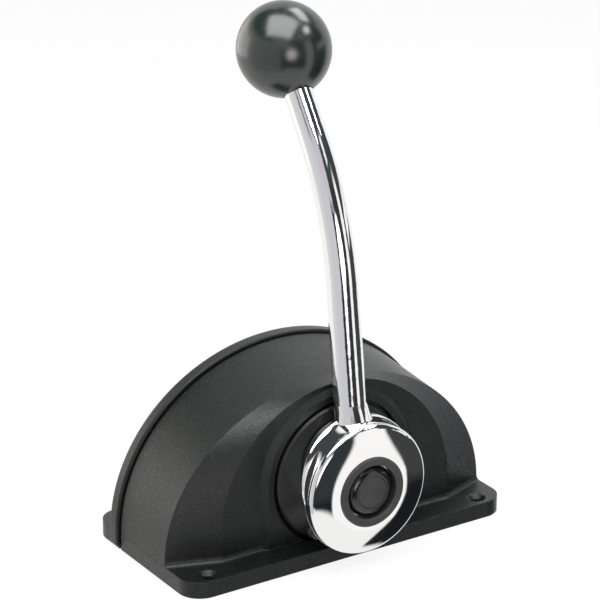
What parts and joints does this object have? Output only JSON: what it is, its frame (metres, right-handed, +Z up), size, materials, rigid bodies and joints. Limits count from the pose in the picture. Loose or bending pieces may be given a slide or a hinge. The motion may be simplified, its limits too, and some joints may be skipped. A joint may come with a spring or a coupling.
{
  "type": "boat throttle control lever",
  "caption": "Single-lever top-mount engine control: a cranked rod with a ball knob turns a dished hub on a domed housing, with a neutral button and gear-driven shift arm.",
  "frame": {"origin": "centre of the mounting hole rectangle, on the plane that the base rests on", "axes": "+Z up out of the console, +X along the long side of the base, -Y towards the hub and lever, which turn about an axis along Y"},
  "size_m": [0.1934, 0.1133, 0.272],
  "materials": {
    "housing": "satin dark paint with a fine grain",
    "cover": "satin dark paint with a fine grain",
    "lever": "polished chrome plate",
    "knob": "glossy dark grey-green",
    "collar": "satin black",
    "ring": "matte dark grey",
    "button": "glossy black",
    "steel": "machined",
    "zinc": "zinc plated",
    "bronze": "sintered bronze",
    "rubber": "matte black",
    "acetal": "natural acetal",
    "switch": "matte black"
  },
  "bodies": {
    "housing": {"front_housing": "housing", "rear_cover": "cover", "cover_gasket": "rubber", "cover_screws": "steel", "plate_screws": "steel", "front_bush": "bronze", "rear_bush": "bronze", "shaft_seal": "rubber", "mechanism_plate": "zinc", "shift_pin": "steel", "pin_spacer": "steel", "pin_clip": "steel", "cable_bracket": "zinc", "cable_clamps": "zinc", "clamp_screws": "steel", "bracket_screws": "steel", "detent_block": "acetal", "detent_ball": "steel", "detent_spring": "steel", "neutral_switch": "switch"},
    "lever": {"lever_arm": "lever", "hub_cap": "ring", "hub_screw": "steel", "knob": "knob", "knob_stud": "steel", "hub_ring": "ring", "hub_collar": "collar", "lever_shaft": "steel", "shaft_key": "steel", "drive_gear": "steel", "detent_disc": "steel", "throttle_crank": "zinc", "crank_spacer": "steel", "rear_spacer": "steel", "thrust_washer": "acetal", "shaft_clip": "steel", "throttle_pin": "steel", "button_spring": "steel"},
    "button": {"neutral_button": "button", "button_disc": "button", "button_stem": "steel"},
    "shift": {"shift_arm": "zinc", "shift_bush": "bronze", "shift_cable_pin": "steel"}
  },
  "joints": [
    {"name": "lever_hinge", "type": "hinge", "parent": "housing", "child": "lever", "pos_m": [0, 0, 0.0412], "axis": [0, 1, 0], "range_deg": [-75, 75]},
    {"name": "button_slide", "type": "slide", "parent": "lever", "child": "button", "axis": [0, 1, 0], "range_m": [0, 0.004], "stiffness_N_per_m": 600, "deforming": ["button_spring"]},
    {"name": "shift_hinge", "type": "hinge", "parent": "housing", "child": "shift", "pos_m": [-0.03361, 0, 0.0283], "axis": [0, 1, 0], "range_deg": [-38, 38]}
  ],
  "couplings": [
    {"joint": "shift_hinge", "follows": "lever_hinge", "ratio": -0.5}
  ]
}
